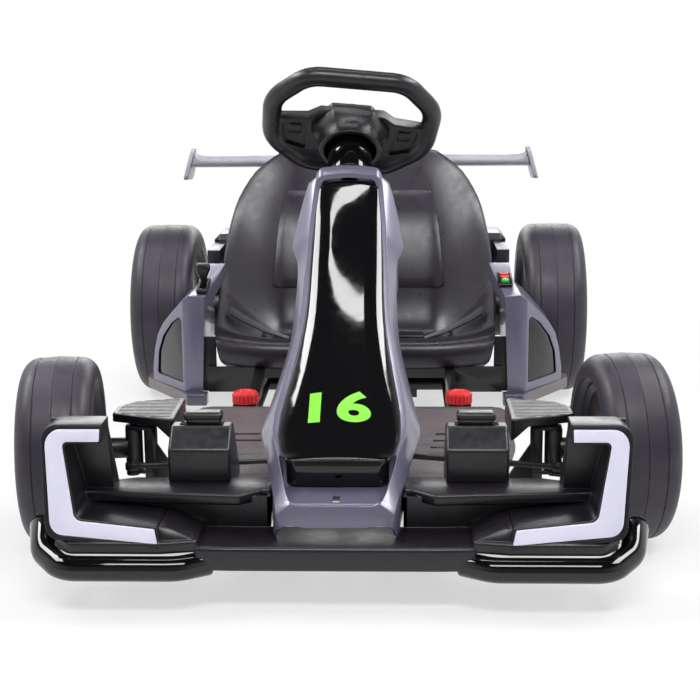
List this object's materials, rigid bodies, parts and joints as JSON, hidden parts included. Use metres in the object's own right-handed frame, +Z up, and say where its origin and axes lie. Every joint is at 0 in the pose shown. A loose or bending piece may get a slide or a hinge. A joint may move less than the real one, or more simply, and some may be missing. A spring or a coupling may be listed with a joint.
{
  "type": "children's electric go-kart",
  "caption": "Low electric drift kart for a child: steered front axle, bucket seat, side pods with controls, sliding front frame, fat rear wheels and a small wing.",
  "frame": {"origin": "on the ground, centred between the wheels and between the foremost and rearmost points", "axes": "+Z up, +Y from the nose to the rear wing, +X to the right of somebody who looks at the front"},
  "size_m": [0.8094, 1.2128, 0.5798],
  "materials": {
    "moulded_black": "moulded, satin",
    "gloss_black": "polished",
    "fairing_grey": "satin gloss",
    "seat_black": "moulded, satin",
    "floor_grey": "textured coating",
    "lens_white": "diffusing lens",
    "tyre_black": "smooth rubber",
    "frame_steel": "powder coated",
    "bright_steel": "zinc plated",
    "knob_red": "moulded",
    "wing_grey": "satin",
    "cover_navy": "satin",
    "sill_brown": "satin",
    "belt_black": "woven webbing",
    "button_green": "moulded"
  },
  "bodies": {
    "rear_chassis": {"rear_frame": "frame_steel", "rear_axle": "bright_steel", "left_motor": "moulded_black", "right_motor": "moulded_black", "battery": "moulded_black", "rear_cover": "cover_navy", "wing_blade": "wing_grey", "left_endplate": "wing_grey", "right_endplate": "wing_grey", "wing_bracket": "cover_navy", "seat_shell": "seat_black", "lap_belt": "belt_black", "belt_buckle": "moulded_black", "left_pod_shell": "fairing_grey", "right_pod_shell": "fairing_grey", "left_pod_window": "gloss_black", "right_pod_window": "gloss_black", "left_pod_sill": "sill_brown", "right_pod_sill": "sill_brown", "lever_gate": "moulded_black", "control_panel": "gloss_black"},
    "front_section": {"front_frame": "frame_steel", "floor_plate": "floor_grey", "front_bumper": "moulded_black", "nose_cover": "fairing_grey", "nose_panel": "gloss_black", "nose_band": "moulded_black", "left_light": "lens_white", "right_light": "lens_white", "left_bumper_tube": "gloss_black", "right_bumper_tube": "gloss_black", "left_arm_cover": "moulded_black", "right_arm_cover": "moulded_black", "left_pedal_housing": "moulded_black", "right_pedal_housing": "moulded_black", "column_collar": "gloss_black"},
    "accelerator": {"accelerator_pedal": "moulded_black"},
    "brake": {"brake_pedal": "moulded_black"},
    "steering": {"steering_shaft": "frame_steel", "steering_wheel": "moulded_black", "hub_cover": "moulded_black", "hub_pad": "moulded_black"},
    "left_steer_arm": {"left_knuckle": "frame_steel"},
    "right_steer_arm": {"right_knuckle": "frame_steel"},
    "left_rod": {"left_tie_rod": "frame_steel"},
    "right_rod": {"right_tie_rod": "frame_steel"},
    "front_left_wheel": {"front_left_tyre": "tyre_black", "front_left_rim": "moulded_black"},
    "front_right_wheel": {"front_right_tyre": "tyre_black", "front_right_rim": "moulded_black"},
    "rear_left_wheel": {"rear_left_tyre": "tyre_black", "rear_left_rim": "moulded_black"},
    "rear_right_wheel": {"rear_right_tyre": "tyre_black", "rear_right_rim": "moulded_black"},
    "left_knob": {"left_clamp_knob": "knob_red"},
    "right_knob": {"right_clamp_knob": "knob_red"},
    "lever": {"drive_lever": "moulded_black"},
    "power": {"power_button": "button_green"},
    "speed": {"speed_rocker": "knob_red"},
    "direction": {"direction_rocker": "knob_red"}
  },
  "joints": [
    {"name": "frame_length", "type": "slide", "parent": "rear_chassis", "child": "front_section", "axis": [0, -1, 0], "range_m": [0, 0.06]},
    {"name": "steering", "type": "hinge", "parent": "front_section", "child": "steering", "pos_m": [0, 0.04685, 0.49655], "axis": [0, 0.6947, 0.7193], "range_deg": [-34.1, 18.9]},
    {"name": "left_kingpin", "type": "hinge", "parent": "front_section", "child": "left_steer_arm", "pos_m": [-0.262, -0.345, 0.117], "axis": [0, 0, 1], "range_deg": [-28.4, 15.8]},
    {"name": "right_kingpin", "type": "hinge", "parent": "front_section", "child": "right_steer_arm", "pos_m": [0.262, -0.345, 0.117], "axis": [0, 0, 1], "range_deg": [-28.4, 15.8]},
    {"name": "left_rod_pivot", "type": "hinge", "parent": "left_steer_arm", "child": "left_rod", "pos_m": [-0.25849, -0.37681, 0.1013], "axis": [0, 0, 1], "range_deg": [-15.8, 28.4]},
    {"name": "right_rod_pivot", "type": "hinge", "parent": "right_steer_arm", "child": "right_rod", "pos_m": [0.26551, -0.37681, 0.1013], "axis": [0, 0, 1], "range_deg": [-15.8, 28.4]},
    {"name": "front_left_spin", "type": "hinge", "parent": "left_steer_arm", "child": "front_left_wheel", "pos_m": [-0.34947, -0.35466, 0.117], "axis": [0.994, 0.1097, 0], "continuous": true},
    {"name": "front_right_spin", "type": "hinge", "parent": "right_steer_arm", "child": "front_right_wheel", "pos_m": [0.34947, -0.33534, 0.117], "axis": [0.994, 0.1097, 0], "continuous": true},
    {"name": "rear_left_spin", "type": "hinge", "parent": "rear_chassis", "child": "rear_left_wheel", "pos_m": [-0.338, 0.435, 0.149], "axis": [1, 0, 0], "continuous": true},
    {"name": "rear_right_spin", "type": "hinge", "parent": "rear_chassis", "child": "rear_right_wheel", "pos_m": [0.338, 0.435, 0.149], "axis": [1, 0, 0], "continuous": true},
    {"name": "accelerator", "type": "hinge", "parent": "front_section", "child": "accelerator", "pos_m": [-0.1605, -0.395, 0.102], "axis": [1, 0, 0], "range_deg": [0, 8], "stiffness_Nm_per_rad": 4, "springref_deg": -5.73},
    {"name": "brake", "type": "hinge", "parent": "front_section", "child": "brake", "pos_m": [0.1605, -0.395, 0.102], "axis": [1, 0, 0], "range_deg": [0, 8], "stiffness_Nm_per_rad": 4, "springref_deg": -5.73},
    {"name": "left_knob_turn", "type": "hinge", "parent": "rear_chassis", "child": "left_knob", "pos_m": [-0.16, 0, 0.086], "axis": [0, 0, 1], "continuous": true},
    {"name": "right_knob_turn", "type": "hinge", "parent": "rear_chassis", "child": "right_knob", "pos_m": [0.16, 0, 0.086], "axis": [0, 0, 1], "continuous": true},
    {"name": "drive_lever_tilt", "type": "hinge", "parent": "rear_chassis", "child": "lever", "pos_m": [-0.2421, 0.17184, 0.23403], "axis": [1, 0, 0], "range_deg": [-12, 12]},
    {"name": "power_press", "type": "slide", "parent": "rear_chassis", "child": "power", "axis": [0, 0.2317, -0.9728], "range_m": [0, 0.002], "stiffness_N_per_m": 600, "springref_m": -0.001},
    {"name": "speed_tilt", "type": "hinge", "parent": "rear_chassis", "child": "speed", "pos_m": [0.24075, 0.19873, 0.24095], "axis": [0, 0.9728, 0.2317], "range_deg": [-8, 8]},
    {"name": "direction_tilt", "type": "hinge", "parent": "rear_chassis", "child": "direction", "pos_m": [0.24075, 0.21089, 0.24385], "axis": [0, 0.9728, 0.2317], "range_deg": [-8, 8]}
  ],
  "couplings": [
    {"joint": "left_kingpin", "follows": "steering", "ratio": 0.82895},
    {"joint": "right_kingpin", "follows": "steering", "ratio": 0.82895},
    {"joint": "left_rod_pivot", "follows": "steering", "ratio": -0.82895},
    {"joint": "right_rod_pivot", "follows": "steering", "ratio": -0.82895}
  ]
}
